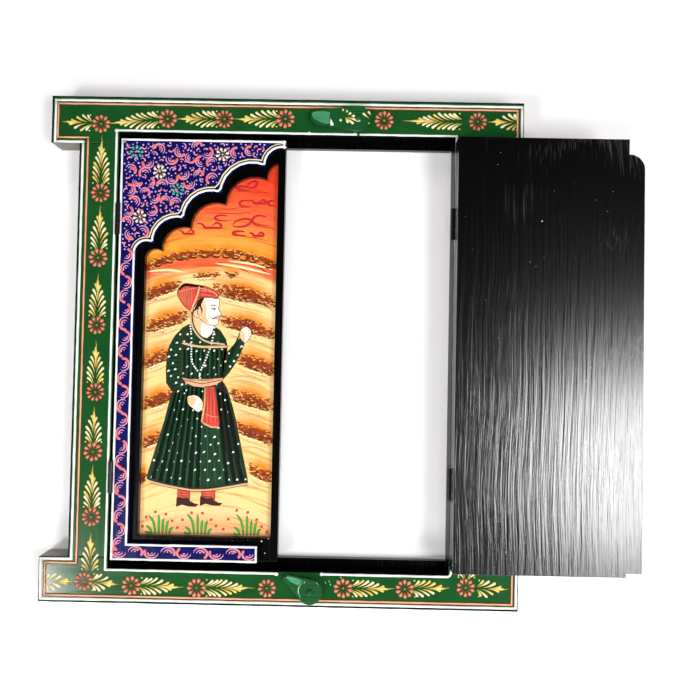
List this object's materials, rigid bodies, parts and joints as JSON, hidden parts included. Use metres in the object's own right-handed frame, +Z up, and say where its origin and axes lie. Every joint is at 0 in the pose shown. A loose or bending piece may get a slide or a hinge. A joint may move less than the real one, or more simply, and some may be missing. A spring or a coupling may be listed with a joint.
{
  "type": "jharokha window wall hanging",
  "caption": "Painted wooden window frame with eared rails and two lobed-arch doors on butt hinges, held shut by wooden turn buttons.",
  "frame": {"origin": "back face of the top rail, in the middle of its length and half way up the rail above the opening, where the wall bears on it", "axes": "+X to the viewer's right, +Y back into the wall, +Z up; the painted front faces -Y"},
  "size_m": [0.3807, 0.0322, 0.3248],
  "materials": {
    "green_enamelled_wood": "hand-brushed gloss green enamel with cone-painted relief",
    "black_enamelled_wood": "hand-brushed gloss black enamel",
    "blue_enamelled_wood": "gloss blue enamel with cone-painted relief",
    "painted_picture": "painted landscape and figure under clear lacquer, black enamel behind",
    "bare_wood": "bare turned dowel",
    "painted_steel": "pressed steel painted over in black",
    "green_painted_steel": "screw head painted over in green",
    "plated_steel": "zinc-plated pressed steel"
  },
  "bodies": {
    "frame": {"top_rail": "green_enamelled_wood", "bottom_rail": "green_enamelled_wood", "left_stile": "green_enamelled_wood", "right_stile": "green_enamelled_wood", "top_stop_bead": "black_enamelled_wood", "bottom_stop_bead": "black_enamelled_wood", "top_left_dowel": "bare_wood", "top_right_dowel": "bare_wood", "bottom_left_dowel": "bare_wood", "bottom_right_dowel": "bare_wood", "top_button_screw": "green_painted_steel", "bottom_button_screw": "green_painted_steel", "top_washer": "plated_steel", "bottom_washer": "plated_steel", "left_hanger_plate": "plated_steel", "left_hanger_plate_screw_1": "plated_steel", "left_hanger_plate_screw_2": "plated_steel", "right_hanger_plate": "plated_steel", "right_hanger_plate_screw_1": "plated_steel", "right_hanger_plate_screw_2": "plated_steel", "upper_left_hinge_frame_leaf": "painted_steel", "upper_left_hinge_pin": "painted_steel", "upper_left_hinge_frame_screw_1": "painted_steel", "upper_left_hinge_frame_screw_2": "painted_steel", "lower_left_hinge_frame_leaf": "painted_steel", "lower_left_hinge_pin": "painted_steel", "lower_left_hinge_frame_screw_1": "painted_steel", "lower_left_hinge_frame_screw_2": "painted_steel", "upper_right_hinge_frame_leaf": "painted_steel", "upper_right_hinge_pin": "painted_steel", "upper_right_hinge_frame_screw_1": "painted_steel", "upper_right_hinge_frame_screw_2": "painted_steel", "lower_right_hinge_frame_leaf": "painted_steel", "lower_right_hinge_pin": "painted_steel", "lower_right_hinge_frame_screw_1": "painted_steel", "lower_right_hinge_frame_screw_2": "painted_steel"},
    "left_door": {"left_picture_board": "painted_picture", "left_surround": "black_enamelled_wood", "left_overlay": "blue_enamelled_wood", "upper_left_hinge_door_leaf": "painted_steel", "upper_left_hinge_door_screw_1": "painted_steel", "upper_left_hinge_door_screw_2": "painted_steel", "lower_left_hinge_door_leaf": "painted_steel", "lower_left_hinge_door_screw_1": "painted_steel", "lower_left_hinge_door_screw_2": "painted_steel"},
    "right_door": {"right_picture_board": "painted_picture", "right_surround": "black_enamelled_wood", "right_overlay": "blue_enamelled_wood", "meeting_strip": "blue_enamelled_wood", "upper_right_hinge_door_leaf": "painted_steel", "upper_right_hinge_door_screw_1": "painted_steel", "upper_right_hinge_door_screw_2": "painted_steel", "lower_right_hinge_door_leaf": "painted_steel", "lower_right_hinge_door_screw_1": "painted_steel", "lower_right_hinge_door_screw_2": "painted_steel"},
    "top_button": {"top_turn_button": "green_enamelled_wood"},
    "bottom_button": {"bottom_turn_button": "green_enamelled_wood"}
  },
  "joints": [
    {"name": "left_door_hinge", "type": "hinge", "parent": "frame", "child": "left_door", "pos_m": [-0.1078, -0.0186, -0.1515], "axis": [0, 0, -1], "range_deg": [0, 180]},
    {"name": "right_door_hinge", "type": "hinge", "parent": "frame", "child": "right_door", "pos_m": [0.1078, -0.0186, -0.1515], "axis": [0, 0, -1], "range_deg": [0, 180]},
    {"name": "top_button_turn", "type": "hinge", "parent": "frame", "child": "top_button", "pos_m": [0.0455, -0.0203, -0.0013], "axis": [0, -1, 0], "continuous": true},
    {"name": "bottom_button_turn", "type": "hinge", "parent": "frame", "child": "bottom_button", "pos_m": [0.0206, -0.0203, -0.3027], "axis": [0, -1, 0], "continuous": true}
  ]
}
